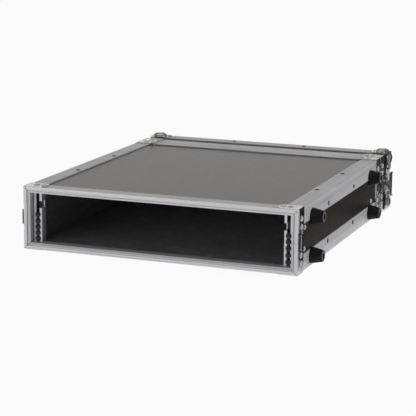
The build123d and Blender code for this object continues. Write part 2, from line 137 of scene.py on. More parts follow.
class RackCaseSizes(bpy.types.PropertyGroup):
    """Sizes of the fixings that stand on the case."""

    brace_rivet: length("Brace rivet", 9.4, "Head diameter of the rivets in the corner braces")
    brace_rivet_rise: length("Brace rivet rise", 2.1, "Height of a brace rivet's head")
    small_rivet: length("Small rivet", 7.0, "Head diameter of the rivets in the angles and plates")
    small_rivet_rise: length("Small rivet rise", 1.2, "Height of a small rivet's head")
    angle_rivet_inset: length("Angle rivet inset", 22.0, "From the case's edge to an angle's rivets")
    angle_rivet_spread: length("Angle rivet spread", 82.0, "From an angle's middle to its rivets")
    angle_rivet_shift: length("Angle rivet shift", 5.0, "From the body's mid depth to the rivets' middle")
    brace_rivet_setback: length("Brace rivet setback", 16.5, "From a frame's face to its braces' rivets")
    lid_rivet_spread: length("Lid rivet spread", 75.0, "From the lid's middle to its rear angles' rivets")
    lid_rivet_inset: length("Lid rivet inset", 12.0, "From the lid's rear to the rivets on its top")
    rail_rivet: length("Rail rivet", 8.6, "Head diameter of the rivets that hold the rack rails")
    rail_rivet_rise: length("Rail rivet rise", 1.8, "Height of a rail rivet's head")
    keeper_rivet_setback: length("Keeper rivet setback", 16.2, "From a frame's face to its keepers' rivets")
    keeper_rivet_spread: length("Keeper rivet spread", 10.0, "From a keeper's middle to its rivets")
    latch_rivet_inset: length("Latch rivet inset", 6.0, "From a latch plate's edges to its rivets")
    handle_rivet_inset: length("Handle rivet inset", 8.0, "From the handle plate's edges to its rivets")
    bead_inset: length("Bead inset", 1.5, "From a latch plate's edge to its pressed bead")
    bead_end: length("Bead end", 4.5, "From a latch plate's end to the end of its bead")
    bead_width: length("Bead width", 1.7, "Width of a pressed bead")
    bead_rise: length("Bead rise", 0.8, "Height of a pressed bead")


class RackCaseColours(bpy.types.PropertyGroup):
    """Base colours of the finishes."""

    aluminium: colour("Aluminium", (0.555, 0.555, 0.572), "Satin anodised extrusions")
    plating: colour("Plating", (0.68, 0.68, 0.69), "Bright plating on the pressed steel")
    board: colour("Board", (0.0175, 0.0160, 0.0148), "Outer film of the boards")
    lining: colour("Lining", (0.150, 0.142, 0.146), "Inner face of the boards")
    rubber: colour("Rubber", (0.0118, 0.0118, 0.0122), "Feet and grip")
    # The keepers' plating is duller and also darkened as painted shade, standing in for dark reflections
    keeper: colour("Shaded keepers", (0.21, 0.21, 0.215), "Duller plating on the latch keepers")
    rivet: colour("Rivets", (0.78, 0.77, 0.76), "Zinc plated rivet heads")
    # Dark rivets also paint shade on the rims of all rivets
    dark_rivet: colour("Dark rivets", (0.045, 0.043, 0.042), "Blackened rivets of the angles")
    black_steel: colour("Black steel", (0.030, 0.030, 0.032), "Rack screws")
    zinc: colour("Zinc", (0.42, 0.42, 0.42), "Nuts and foot screws")
    # Painted shade in the rack rails' channels, on their inner flanks and on the step down to a board, and
    # the dark colour of the mitres, pins and post joint
    shade_and_dark_lines: colour("Shade and dark lines", (0.035, 0.034, 0.034), "Dark lines and hollows of the aluminium")
    floor: colour("Floor", (0.86, 0.86, 0.86), "Studio floor")


def sizes():
    """The scene's sizes."""
    return bpy.context.scene.rack_case_sizes


def colours():
    """The scene's colours."""
    return bpy.context.scene.rack_case_colours


def add_node(tree, kind, **inputs):
    """A node with its plain inputs set by name; underscores stand for spaces."""
    node = tree.nodes.new(kind)
    for name, value in inputs.items():
        node.inputs[name.replace("_", " ")].default_value = value
    return node


def math_node(tree, operation, first, second=None, third=None):
    """A Math node fed by sockets or numbers; returns its output."""
    node = tree.nodes.new("ShaderNodeMath")
    node.operation = operation
    for index, value in enumerate((first, second, third)):
        if value is None:
            continue
        if isinstance(value, (int, float)):
            node.inputs[index].default_value = value
        else:
            tree.links.new(value, node.inputs[index])
    return node.outputs[0]


def place_parts(tree):
    """The X, Y and Z of a point in its piece's own space."""
    place = tree.nodes.new("ShaderNodeTexCoord")
    parts = tree.nodes.new("ShaderNodeSeparateXYZ")
    tree.links.new(place.outputs["Object"], parts.inputs[0])
    return parts.outputs


def mixed(tree, kind, factor, first, second):
    """Mixes two sockets or fixed values by a factor; kind is FLOAT or RGBA; returns the output."""
    node = tree.nodes.new("ShaderNodeMix")
    node.data_type = kind
    tree.links.new(factor, node.inputs["Factor"])
    for label, value in (("A", first), ("B", second)):
        if isinstance(value, (float, tuple)):
            node.inputs[label].default_value = value
        else:
            tree.links.new(value, node.inputs[label])
    return node.outputs["Result"]


def new_group(name, inputs, outputs):
    """An empty shader node group with typed sockets; returns tree, input node, output node."""
    tree = bpy.data.node_groups.new(name, "ShaderNodeTree")
    for label, kind, default in inputs:
        socket = tree.interface.new_socket(name=label, in_out="INPUT", socket_type=kind)
        if default is not None:
            socket.default_value = default
    for label, kind in outputs:
        tree.interface.new_socket(name=label, in_out="OUTPUT", socket_type=kind)
    return tree, tree.nodes.new("NodeGroupInput"), tree.nodes.new("NodeGroupOutput")


def drawn_lines_group():
    """Streaks along one direction, as left by an extrusion die."""
    if "Drawn lines" in bpy.data.node_groups:
        return bpy.data.node_groups["Drawn lines"]
    tree, start, end = new_group(
        "Drawn lines",
        [
            ("Stretch", "NodeSocketVector", (1.0, 1.0, 1.0)),
            ("Fine", "NodeSocketFloat", 900.0),
            ("Broad", "NodeSocketFloat", 130.0),
        ],
        [("Line", "NodeSocketFloat"), ("Band", "NodeSocketFloat")],
    )
    place = tree.nodes.new("ShaderNodeTexCoord")
    stretch = tree.nodes.new("ShaderNodeVectorMath")
    stretch.operation = "MULTIPLY"
    tree.links.new(place.outputs["Object"], stretch.inputs[0])
    tree.links.new(start.outputs["Stretch"], stretch.inputs[1])
    for label, source, detail in (("Line", "Fine", 2.0), ("Band", "Broad", 3.0)):
        grain = add_node(tree, "ShaderNodeTexNoise", Detail=detail, Roughness=0.6)
        tree.links.new(stretch.outputs[0], grain.inputs["Vector"])
        tree.links.new(start.outputs[source], grain.inputs["Scale"])
        tree.links.new(grain.outputs["Fac"], end.inputs[label])
    return tree


def handling_group():
    """Smudges and fine specks from handling."""
    if "Handling" in bpy.data.node_groups:
        return bpy.data.node_groups["Handling"]
    tree, start, end = new_group(
        "Handling",
        [("Smudge size", "NodeSocketFloat", 18.0), ("Speck size", "NodeSocketFloat", 700.0)],
        [("Smudge", "NodeSocketFloat"), ("Speck", "NodeSocketFloat")],
    )
    place = tree.nodes.new("ShaderNodeTexCoord")
    smudge = add_node(tree, "ShaderNodeTexNoise", Detail=4.0, Roughness=0.55, Distortion=0.4)
    speck = add_node(tree, "ShaderNodeTexNoise", Detail=2.0, Roughness=0.7)
    for node, size, label in ((smudge, "Smudge size", "Smudge"), (speck, "Speck size", "Speck")):
        tree.links.new(place.outputs["Object"], node.inputs["Vector"])
        tree.links.new(start.outputs[size], node.inputs["Scale"])
        tree.links.new(node.outputs["Fac"], end.inputs[label])
    return tree


def place_group(tree, group, **inputs):
    """A group node in a material, with its inputs set by name."""
    node = tree.nodes.new("ShaderNodeGroup")
    node.node_tree = group
    for name, value in inputs.items():
        node.inputs[name.replace("_", " ")].default_value = value
    return node


def span(tree, value, low, high, to_low, to_high):
    """Maps a value from one span to another; returns the output."""
    node = tree.nodes.new("ShaderNodeMapRange")
    node.inputs["From Min"].default_value = low
    node.inputs["From Max"].default_value = high
    node.inputs["To Min"].default_value = to_low
    node.inputs["To Max"].default_value = to_high
    tree.links.new(value, node.inputs["Value"])
    return node.outputs["Result"]


def shades(tree, value, stops):
    """A colour ramp over (position, colour) stops; returns its colour output."""
    node = tree.nodes.new("ShaderNodeValToRGB")
    ramp = node.color_ramp
    while len(ramp.elements) < len(stops):
        ramp.elements.new(0.5)
    for element, (place, shade) in zip(ramp.elements, stops):
        element.position = place
        element.color = (*shade, 1.0)
    tree.links.new(value, node.inputs["Fac"])
    return node.outputs["Color"]


def scaled(shade, factor):
    """A colour made lighter or darker, held inside 0 to 1."""
    return tuple(min(1.0, channel * factor) for channel in shade)


def bumped(tree, height, strength, distance):
    """A bump from a height; returns the normal output."""
    node = add_node(tree, "ShaderNodeBump", Strength=strength, Distance=distance)
    tree.links.new(height, node.inputs["Height"])
    return node.outputs["Normal"]


def new_finish(name):
    """A material with its Principled shader; returns material, tree and shader."""
    finish = bpy.data.materials.new(name)
    finish.use_nodes = True
    tree = finish.node_tree
    shader = tree.nodes["Principled BSDF"]
    return finish, tree, shader


def between(tree, value, low, high):
    """1 where a value lies between two limits, else 0; returns the output."""
    above = math_node(tree, "GREATER_THAN", value, low)
    return math_node(tree, "MULTIPLY", above, math_node(tree, "LESS_THAN", value, high))


def joint_lines_and_shade_group():
    """Dark lines on the extrusions: the mitres, the pins and the post's joint, and painted shade on the
    step down to a board.
    """
    if "Joint lines and shade" in bpy.data.node_groups:
        return bpy.data.node_groups["Joint lines and shade"]
    tree, start, end = new_group(
        "Joint lines and shade",
        [
            ("Skin", "NodeSocketFloat", SKIN),
            ("Mitre width", "NodeSocketFloat", MITRE_WIDTH),
            ("Pin inset", "NodeSocketFloat", PIN_INSET),
        ],
        [("Shaded step", "NodeSocketFloat"), ("Mitre", "NodeSocketFloat"), ("Mark", "NodeSocketFloat")],
    )
    parts = place_parts(tree)
    side = math_node(tree, "SUBTRACT", CASE_SIDE, math_node(tree, "ABSOLUTE", parts["X"]))
    off_middle = math_node(tree, "ABSOLUTE", math_node(tree, "SUBTRACT", parts["Z"], CASE_MIDDLE))
    level = math_node(tree, "SUBTRACT", CASE_TOP - CASE_MIDDLE, off_middle)
    under = math_node(tree, "MINIMUM", side, level)

    # Painted shade: the step from a frame's face down to a board is darkened as if by the shadow in the gap
    # there
    face_margin, skin_margin, frame_margin, lid_end_margin = 0.3 * MM, 0.05 * MM, 8 * MM, 3 * MM
    below_face = math_node(tree, "GREATER_THAN", under, face_margin)
    past_skin = math_node(tree, "SUBTRACT", under, start.outputs["Skin"])
    above_board = math_node(tree, "LESS_THAN", past_skin, skin_margin)
    sunk = math_node(tree, "MULTIPLY", below_face, above_board)
    body = between(tree, parts["Y"], CASE_FRONT + frame_margin, BODY_REAR - frame_margin)
    lid = between(tree, parts["Y"], LID_FRONT + frame_margin, LID_REAR - lid_end_margin)
    step = math_node(tree, "MULTIPLY", sunk, math_node(tree, "MAXIMUM", body, lid))
    tree.links.new(step, end.inputs["Shaded step"])

    off_mitre = math_node(tree, "ABSOLUTE", math_node(tree, "SUBTRACT", side, level))
    mitre = math_node(tree, "LESS_THAN", off_mitre, start.outputs["Mitre width"])
    off_corner = math_node(tree, "GREATER_THAN", under, 0.5 * MM)
    mitre = math_node(tree, "MULTIPLY", mitre, off_corner)
    lower = math_node(tree, "LESS_THAN", parts["Z"], CASE_MIDDLE)
    strength = math_node(tree, "MULTIPLY_ADD", lower, 0.75, 0.25)
    tree.links.new(math_node(tree, "MULTIPLY", mitre, strength), end.inputs["Mitre"])

    inset = start.outputs["Pin inset"]
    drop = math_node(tree, "SUBTRACT", CASE_TOP, parts["Z"])
    beside = math_node(tree, "POWER", math_node(tree, "SUBTRACT", side, inset), 2.0)
    below = math_node(tree, "POWER", math_node(tree, "SUBTRACT", drop, inset), 2.0)
    pin = math_node(tree, "LESS_THAN", math_node(tree, "ADD", beside, below), PIN_RADIUS ** 2)
    right = math_node(tree, "GREATER_THAN", parts["X"], 0.0)
    joint = between(tree, parts["Z"], POST_JOINT_LOW, POST_JOINT_HIGH)
    mark = math_node(tree, "MAXIMUM", pin, math_node(tree, "MULTIPLY", joint, right))
    mark_depth = 4 * MM
    front = math_node(tree, "LESS_THAN", parts["Y"], CASE_FRONT + mark_depth)
    tree.links.new(math_node(tree, "MULTIPLY", mark, front), end.inputs["Mark"])
    return tree


def rail_painted_shade(tree):
    """Painted shade: 1 inside the channels of the rack rails and less on their inner flanks, darkened there
    as shade would darken them.
    """
    edge = 0.1 * MM
    lip = 0.4 * MM
    hollow = RAIL_DEPTH - RAIL_WALL + edge
    parts = place_parts(tree)
    reach = math_node(tree, "ABSOLUTE", parts["X"])
    across = between(tree, reach, RAIL_IN + RAIL_WALL - edge, RAIL_OUT - RAIL_WALL + edge)
    front = between(tree, parts["Y"], RAIL_FRONT + lip, RAIL_FRONT + hollow)
    rear = between(tree, parts["Y"], REAR_RAIL_REAR - hollow, REAR_RAIL_REAR - lip)
    channel = math_node(tree, "MULTIPLY", across, math_node(tree, "MAXIMUM", front, rear))
    inner = math_node(tree, "LESS_THAN", reach, RAIL_IN + edge)
    between_lips = between(tree, parts["Y"], RAIL_FRONT + lip, REAR_RAIL_REAR - lip)
    flank = math_node(tree, "MULTIPLY", inner, between_lips)
    return math_node(tree, "MULTIPLY_ADD", flank, 0.35, channel)


def drawn_aluminium(name, run, shade, rail=False):
    """Satin aluminium with die lines along run, which is 0, 1 or 2 for X, Y or Z."""
    finish, tree, shader = new_finish(name)
    stretch = [1.0, 1.0, 1.0]
    stretch[run] = 0.004
    lines = place_group(tree, drawn_lines_group(), Stretch=stretch, Fine=1100.0, Broad=240.0)
    wear = place_group(tree, handling_group(), Smudge_size=9.0, Speck_size=900.0)
    both = math_node(tree, "MULTIPLY_ADD", lines.outputs["Band"], 0.9, lines.outputs["Line"])
    tone = span(tree, both, 0.70, 1.20, 0.0, 1.0)
    colour_out = shades(tree, tone, [
        (0.0, scaled(shade, 0.70)), (0.35, scaled(shade, 0.95)), (1.0, scaled(shade, 1.12)),
    ])
    # The mask paints shade into the rails' channels and flanks and onto the step to a board, and darkens
    # the mitres, pins and joint
    if rail:
        shade_and_dark_lines = rail_painted_shade(tree)
    else:
        joint_marks_and_shade = place_group(
            tree, joint_lines_and_shade_group(), Skin=SKIN, Mitre_width=MITRE_WIDTH, Pin_inset=PIN_INSET,
        )
        # The step is painted shade, 55 % of the way to the dark colour
        step = math_node(tree, "MULTIPLY", joint_marks_and_shade.outputs["Shaded step"], 0.55)
        shade_and_dark_lines = math_node(tree, "MAXIMUM", step, joint_marks_and_shade.outputs["Mitre"])
        shade_and_dark_lines = math_node(tree, "MAXIMUM", shade_and_dark_lines, joint_marks_and_shade.outputs["Mark"])
    soiled = mixed(tree, "RGBA", shade_and_dark_lines, colour_out, (*colours().shade_and_dark_lines, 1.0))
    tree.links.new(soiled, shader.inputs["Base Color"])
    rough = math_node(
        tree, "ADD",
        span(tree, wear.outputs["Smudge"], 0.35, 0.7, 0.34, 0.44),
        span(tree, lines.outputs["Line"], 0.3, 0.7, -0.03, 0.05),
    )
    tree.links.new(math_node(tree, "MULTIPLY_ADD", shade_and_dark_lines, 0.4, rough), shader.inputs["Roughness"])
    tree.links.new(math_node(tree, "MULTIPLY_ADD", shade_and_dark_lines, -0.4, 0.4), shader.inputs["Metallic"])
    tree.links.new(bumped(tree, both, 0.25, 0.0004), shader.inputs["Normal"])
    return finish


def plated_steel(name, shade):
    """Pressed and plated sheet: bright, a little uneven, with fine scratches."""
    finish, tree, shader = new_finish(name)
    wear = place_group(tree, handling_group(), Smudge_size=140.0, Speck_size=1400.0)
    scratch = place_group(
        tree, drawn_lines_group(), Stretch=(1.0, 0.25, 0.12), Fine=1500.0, Broad=420.0,
    )
    tone = span(tree, wear.outputs["Smudge"], 0.3, 0.72, 0.0, 1.0)
    colour_out = shades(tree, tone, [
        (0.0, scaled(shade, 0.80)), (0.45, shade), (1.0, scaled(shade, 1.12)),
    ])
    tree.links.new(colour_out, shader.inputs["Base Color"])
    rough = math_node(
        tree, "ADD",
        span(tree, wear.outputs["Smudge"], 0.3, 0.7, 0.06, 0.16),
        span(tree, scratch.outputs["Line"], 0.4, 0.7, 0.0, 0.07),
    )
    tree.links.new(rough, shader.inputs["Roughness"])
    wave = place_group(tree, handling_group(), Smudge_size=95.0, Speck_size=260.0)
    height = math_node(tree, "MULTIPLY_ADD", wave.outputs["Smudge"], 6.0, wear.outputs["Smudge"])
    tree.links.new(bumped(tree, height, 0.4, 0.0005), shader.inputs["Normal"])
    shader.inputs["Metallic"].default_value = 1.0
    return finish


def laminated_board(name, outer, inner):
    """Film-faced plywood: dark brown-grey outside, dark grey inside with the grain showing."""
    finish, tree, shader = new_finish(name)
    parts = place_parts(tree)
    lining_depth = 5 * MM
    off_middle = math_node(tree, "ABSOLUTE", math_node(tree, "SUBTRACT", parts["Z"], CASE_MIDDLE))
    across = math_node(tree, "LESS_THAN", math_node(tree, "ABSOLUTE", parts["X"]), CASE_SIDE - lining_depth)
    within = math_node(tree, "LESS_THAN", off_middle, CASE_TOP - CASE_MIDDLE - lining_depth)
    ahead = math_node(tree, "LESS_THAN", parts["Y"], LID_REAR - lining_depth)
    inside = math_node(tree, "MULTIPLY", math_node(tree, "MULTIPLY", across, within), ahead)

    wear = place_group(tree, handling_group(), Smudge_size=5.0, Speck_size=1600.0)
    film = place_group(tree, drawn_lines_group(), Stretch=(0.12, 1.0, 1.0), Fine=620.0, Broad=90.0)
    grain = place_group(tree, drawn_lines_group(), Stretch=(0.12, 1.0, 1.0), Fine=560.0, Broad=170.0)

    outer_tone = math_node(tree, "MULTIPLY_ADD", wear.outputs["Smudge"], 0.7, film.outputs["Line"])
    outer_colour = shades(tree, span(tree, outer_tone, 0.6, 1.1, 0.0, 1.0), [
        (0.0, scaled(outer, 0.70)), (1.0, scaled(outer, 1.30)),
    ])
    grain_tone = math_node(tree, "MULTIPLY_ADD", grain.outputs["Band"], 0.8, grain.outputs["Line"])
    inner_colour = shades(tree, span(tree, grain_tone, 0.65, 1.15, 0.0, 1.0), [
        (0.0, scaled(inner, 0.55)), (0.6, inner), (1.0, scaled(inner, 2.0)),
    ])
    tree.links.new(mixed(tree, "RGBA", inside, outer_colour, inner_colour), shader.inputs["Base Color"])
    rough_out = span(tree, film.outputs["Line"], 0.3, 0.7, 0.265, 0.315)
    rough_in = span(tree, grain.outputs["Band"], 0.3, 0.7, 0.42, 0.62)
    tree.links.new(mixed(tree, "FLOAT", inside, rough_out, rough_in), shader.inputs["Roughness"])
    height = mixed(tree, "FLOAT", inside, film.outputs["Line"], grain_tone)
    tree.links.new(bumped(tree, height, 0.09, 0.0005), shader.inputs["Normal"])
    shader.inputs["Specular IOR Level"].default_value = 0.68
    shader.inputs["Specular Tint"].default_value = (1.0, 0.86, 0.75, 1.0)
    return finish


def moulded_rubber(name, shade):
    """Black rubber with a fine moulded skin, a little dust and scuffed foot tips."""
    finish, tree, shader = new_finish(name)
    wear = place_group(tree, handling_group(), Smudge_size=60.0, Speck_size=1500.0)
    tone = span(tree, wear.outputs["Smudge"], 0.35, 0.75, 0.0, 1.0)
    colour_out = shades(tree, tone, [(0.0, scaled(shade, 0.8)), (1.0, scaled(shade, 1.5))])
    scuff_start, scuff_end = FOOT_TIP - 1.2 * MM, FOOT_TIP - 0.2 * MM
    tip = span(tree, place_parts(tree)["X"], scuff_start, scuff_end, 0.0, 1.0)
    scuffed = math_node(tree, "MULTIPLY", tip, wear.outputs["Smudge"])
    worn = mixed(tree, "RGBA", scuffed, colour_out, (*scaled(shade, 14.0), 1.0))
    tree.links.new(worn, shader.inputs["Base Color"])
    tree.links.new(span(tree, wear.outputs["Speck"], 0.3, 0.7, 0.55, 0.72), shader.inputs["Roughness"])
    tree.links.new(bumped(tree, wear.outputs["Speck"], 0.25, 0.0003), shader.inputs["Normal"])
    shader.inputs["Specular IOR Level"].default_value = 0.22
    return finish


def small_steel(name, shade, low, high, metal):
    """Steel of small fixings between two roughness values."""
    finish, tree, shader = new_finish(name)
    wear = place_group(tree, handling_group(), Smudge_size=220.0, Speck_size=2500.0)
    tone = span(tree, wear.outputs["Smudge"], 0.3, 0.7, 0.0, 1.0)
    colour_out = shades(tree, tone, [(0.0, scaled(shade, 0.7)), (1.0, scaled(shade, 1.3))])
    tree.links.new(colour_out, shader.inputs["Base Color"])
    tree.links.new(span(tree, wear.outputs["Speck"], 0.3, 0.7, low, high), shader.inputs["Roughness"])
    tree.links.new(bumped(tree, wear.outputs["Speck"], 0.15, 0.0002), shader.inputs["Normal"])
    shader.inputs["Metallic"].default_value = metal
    return finish


def finish_named(name):
    """A finish by name, made once."""
    found = bpy.data.materials.get(name)
    if found:
        return found
    tint = colours()
    makers = {
        "Aluminium across": lambda: drawn_aluminium(name, 0, tint.aluminium),
        "Aluminium along": lambda: drawn_aluminium(name, 1, tint.aluminium),
        "Aluminium upright": lambda: drawn_aluminium(name, 2, tint.aluminium),
        "Aluminium rail": lambda: drawn_aluminium(name, 2, tint.aluminium, rail=True),
        "Plated steel": lambda: plated_steel(name, tint.plating),
        "Board": lambda: laminated_board(name, tint.board, tint.lining),
        "Rubber": lambda: moulded_rubber(name, tint.rubber),
        "Black steel": lambda: small_steel(name, tint.black_steel, 0.18, 0.34, 0.5),
        "Zinc steel": lambda: small_steel(name, tint.zinc, 0.25, 0.40, 1.0),
        "Shaded keeper steel": lambda: plated_steel(name, tint.keeper),
        "Rivet": lambda: small_steel(name, tint.rivet, 0.16, 0.30, 0.55),
        "Dark rivet": lambda: small_steel(name, tint.dark_rivet, 0.30, 0.45, 0.6),
    }
    return makers[name]()


def dress(names, finish):
    """Gives a finish to CAD nodes through their material slots."""
    for name in names:
        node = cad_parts[name]
        if not node.material_slots:
            node.data.materials.append(None)
        for slot in node.material_slots:
            slot.material = finish_named(finish)


def nodes_that(*starts, ends=("",)):
    """CAD nodes whose names start and end as asked."""
    return [n for n in sorted(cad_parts) if n.startswith(starts) and n.endswith(ends)]


def headed_profile(diameter, rise):
    """A hollow rivet's outline as (radius, height): its pressed rim, its dome and its dimple."""
    radius = diameter / 2
    outline = [(radius * 1.26, 0.0), (radius * 1.20, rise * 0.14), (radius * 1.08, rise * 0.04)]
    outline += [(radius, rise * 0.04), (radius * 0.985, rise * 0.30)]
    for step in range(1, 6):
        turn = math.radians(15 + step * 13)
        outline.append((radius * math.cos(turn) * 1.02, rise * (0.3 + 0.7 * math.sin(turn))))
    outline += [(radius * 0.24, rise * 0.92), (radius * 0.20, rise * 0.45), (0.0, rise * 0.45)]
    return outline


def spun(mesh, outline, place, normal, segments=20, shaded_rim_bands=3):
    """Adds a turned shape to a bmesh at place along normal; its rim's bands take the second finish, painted
    shade round the head.
    """
    turn = normal.to_track_quat("Z", "Y").to_matrix().to_4x4()
    pose = Matrix.Translation(place) @ turn
    angles = [math.tau * step / segments for step in range(segments)]
    rings = []
    for radius, rise in outline:
        if radius == 0.0:
            rings.append([mesh.verts.new(pose @ Vector((0, 0, rise)))])
        else:
            rings.append([
                mesh.verts.new(pose @ Vector((radius * math.cos(angle), radius * math.sin(angle), rise)))
                for angle in angles
            ])
    for band, (first, second) in enumerate(zip(rings, rings[1:])):
        for step in range(segments):
            after = (step + 1) % segments
            if len(second) == 1:
                mesh.faces.new((first[step], first[after], second[0]))
            else:
                face = mesh.faces.new((first[step], first[after], second[after], second[step]))
                face.material_index = int(1 <= band < shaded_rim_bands)
    mesh.faces.new(list(reversed(rings[0])))


def add_piece(name, mesh, finishes, body):
    """Makes a smooth piece from a bmesh and lets it ride a body."""
    data = bpy.data.meshes.new(name)
    mesh.to_mesh(data)
    mesh.free()
    for face in data.polygons:
        face.use_smooth = True
    piece = bpy.data.objects.new(name, data)
    bpy.context.collection.objects.link(piece)
    for finish in finishes:
        piece.data.materials.append(finish_named(finish))
    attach(piece, body)


def fixings(name, body, places, diameter, rise, finish="Rivet"):
    """One piece holding a group of like heads; places are (point, normal)."""
    mesh = bmesh.new()
    outline = headed_profile(diameter, rise)
    for point, normal in places:
        spun(mesh, outline, Vector(point), Vector(normal))
    # The rim bands take Dark rivet: painted shade in the crevice round each head
    add_piece(name, mesh, (finish, "Dark rivet"), body)


def beads(name, body, places, length, width, rise, segments=24):
    """One piece holding pressed beads that run along Y; places are (point, side)."""
    mesh = bmesh.new()
    turns = [math.tau * (step + 0.5) / segments for step in range(segments)]
    straight = (length - width) / 2
    for (x, y, z), side in places:
        rings = []
        for share, level in ((1.0, 0.0), (0.88, 0.5), (0.55, 0.9), (0.12, 1.0)):
            radius = share * width / 2
            rings.append([
                mesh.verts.new((
                    x + side * level * rise,
                    y + math.copysign(straight, math.cos(turn)) + radius * math.cos(turn),
                    z + radius * math.sin(turn),
                ))
                for turn in turns
            ])
        for first, second in zip(rings, rings[1:]):
            for step in range(segments):
                after = (step + 1) % segments
                mesh.faces.new((first[step], first[after], second[after], second[step]))
        mesh.faces.new(rings[-1])
        mesh.faces.new(list(reversed(rings[0])))
    bmesh.ops.recalc_face_normals(mesh, faces=mesh.faces)
    add_piece(name, mesh, ("Plated steel",), body)


def brace_places(middle_y):
    """Rivets of four corner braces round one frame: two in each leg."""
    places = []
    for step in BRACE_RIVET_STEPS:
        for side in (-1, 1):
            x = side * (CASE_SIDE - step)
            places.append(((x, middle_y, CASE_TOP + BRACE_SHEET), (0, 0, 1)))
            places.append(((x, middle_y, CASE_UNDER - BRACE_SHEET), (0, 0, -1)))
            for z in (CASE_TOP - step, CASE_UNDER + step):
                places.append(((side * (CASE_SIDE + BRACE_SHEET), middle_y, z), (side, 0, 0)))
    return places


def plate_places(low, high, inset, side, face):
    """Rivets near the four corners of a plate on a side face."""
    return [
        ((side * face, y, z), (side, 0, 0))
        for y in (low.y + inset, high.y - inset)
        for z in (low.z + inset, high.z - inset)
    ]


class RACKCASE_OT_boards(bpy.types.Operator):
    """Gives the boards their film and lining"""

    bl_idname = "rackcase.boards"
    bl_label = "Dress Boards"

    def execute(self, context):
        body = ("top_panel", "bottom_panel", "left_panel", "right_panel")
        dress(nodes_that(*body, "lid_board", "lid_back"), "Board")
        return {"FINISHED"}


class RACKCASE_OT_aluminium(bpy.types.Operator):
    """Gives the frames, angles and rails drawn aluminium along their length"""

    bl_idname = "rackcase.aluminium"
    bl_label = "Dress Aluminium"

    def execute(self, context):
        rings = ("front_frame", "rear_frame", "lid_frame", "lid_angle")
        dress(nodes_that(*rings, ends=("top", "bottom")), "Aluminium across")
        dress(nodes_that(*rings, ends=("left", "right")), "Aluminium upright")
        dress(nodes_that("edge_angle"), "Aluminium along")
        dress(nodes_that("rack_rail"), "Aluminium rail")
        return {"FINISHED"}


class RACKCASE_OT_plated(bpy.types.Operator):
    """Gives the braces, ball corners, keepers, latches and handle their plating"""

    bl_idname = "rackcase.plated"
    bl_label = "Dress Plated Steel"

    def execute(self, context):
        dress(nodes_that("front_corner", "rear_corner", "lid_corner", "ball_corner"), "Plated steel")
        dress(nodes_that("latch_"), "Plated steel")
        # The keepers' darker plating is partly painted shade
        dress(nodes_that("front_latch", "rear_latch"), "Shaded keeper steel")
        dress(nodes_that("handle_plate", "handle_bail"), "Plated steel")
        return {"FINISHED"}


class RACKCASE_OT_rubber(bpy.types.Operator):
    """Gives the feet and the grip black rubber"""

    bl_idname = "rackcase.rubber"
    bl_label = "Dress Rubber"

    def execute(self, context):
        dress(nodes_that("rubber_foot", "handle_grip"), "Rubber")
        return {"FINISHED"}


class RACKCASE_OT_screws(bpy.types.Operator):
    """Gives the rack screws, slide nuts and foot screws their steel"""

    bl_idname = "rackcase.screws"
    bl_label = "Dress Screws"

    def execute(self, context):
        dress(["rack_screws"], "Black steel")
        dress(["slide_nuts", "foot_screws"], "Zinc steel")
        return {"FINISHED"}


class RACKCASE_OT_brace_rivets(bpy.types.Operator):
    """Adds the rivets of the corner braces"""

    bl_idname = "rackcase.brace_rivets"
    bl_label = "Add Brace Rivets"

    def execute(self, context):
        size = sizes()
        setback = size.brace_rivet_setback
        groups = {
            "rivets_front_braces": ("case", CASE_FRONT + setback),
            "rivets_rear_braces": ("case", BODY_REAR - setback),
            "rivets_lid_braces": ("rear_lid", LID_FRONT + setback),
        }
        for name, (body, y) in groups.items():
            fixings(name, body, brace_places(y), size.brace_rivet, size.brace_rivet_rise)
        return {"FINISHED"}


class RACKCASE_OT_angle_rivets(bpy.types.Operator):
    """Adds the rivets along the edge angles and the lid's rear angle"""

    bl_idname = "rackcase.angle_rivets"
    bl_label = "Add Angle Rivets"

    def execute(self, context):
        size = sizes()
        inset = size.angle_rivet_inset
        places = []
        middle = BODY_MIDDLE - size.angle_rivet_shift
        for y in (middle - size.angle_rivet_spread, middle + size.angle_rivet_spread):
            for side in (-1, 1):
                x = side * (CASE_SIDE - inset)
                places.append(((x, y, CASE_TOP), (0, 0, 1)))
                places.append(((x, y, CASE_UNDER), (0, 0, -1)))
                places.append(((side * CASE_SIDE, y, CASE_TOP - inset), (side, 0, 0)))
                places.append(((side * CASE_SIDE, y, CASE_UNDER + inset), (side, 0, 0)))
        dark = {"finish": "Dark rivet"}
        fixings("rivets_edge_angles", "case", places, size.small_rivet, size.small_rivet_rise, **dark)
        places = []
        row = LID_REAR - size.lid_rivet_inset
        for x in (-size.lid_rivet_spread, size.lid_rivet_spread):
            places.append(((x, row, CASE_TOP), (0, 0, 1)))
            places.append(((x, row, CASE_UNDER), (0, 0, -1)))
            places.append(((x, LID_REAR, CASE_TOP - inset), (0, 1, 0)))
            places.append(((x, LID_REAR, CASE_UNDER + inset), (0, 1, 0)))
        fixings("rivets_lid_angle", "rear_lid", places, size.small_rivet, size.small_rivet_rise, **dark)
        return {"FINISHED"}


class RACKCASE_OT_corner_rivets(bpy.types.Operator):
    """Adds the rivets of the lid's ball corners"""

    bl_idname = "rackcase.corner_rivets"
    bl_label = "Add Ball Corner Rivets"

    def execute(self, context):
        size = sizes()
        places = []
        for side in (-1, 1):
            for up in (-1, 1):
                level = CASE_TOP if up > 0 else CASE_UNDER
                for first, second in BALL_RIVET_SPOTS:
                    x, y, z = side * (CASE_SIDE - first), LID_REAR - second, level - up * second
                    places.append(((x, y, level + up * PLATE_SHEET), (0, 0, up)))
                    places.append(((x, LID_REAR + PLATE_SHEET, z), (0, 1, 0)))
                    places.append(((side * (CASE_SIDE + PLATE_SHEET), LID_REAR - first, z), (side, 0, 0)))
        head = size.small_rivet * BALL_RIVET_SHARE
        fixings("rivets_ball_corners", "rear_lid", places, head, size.small_rivet_rise)
        return {"FINISHED"}


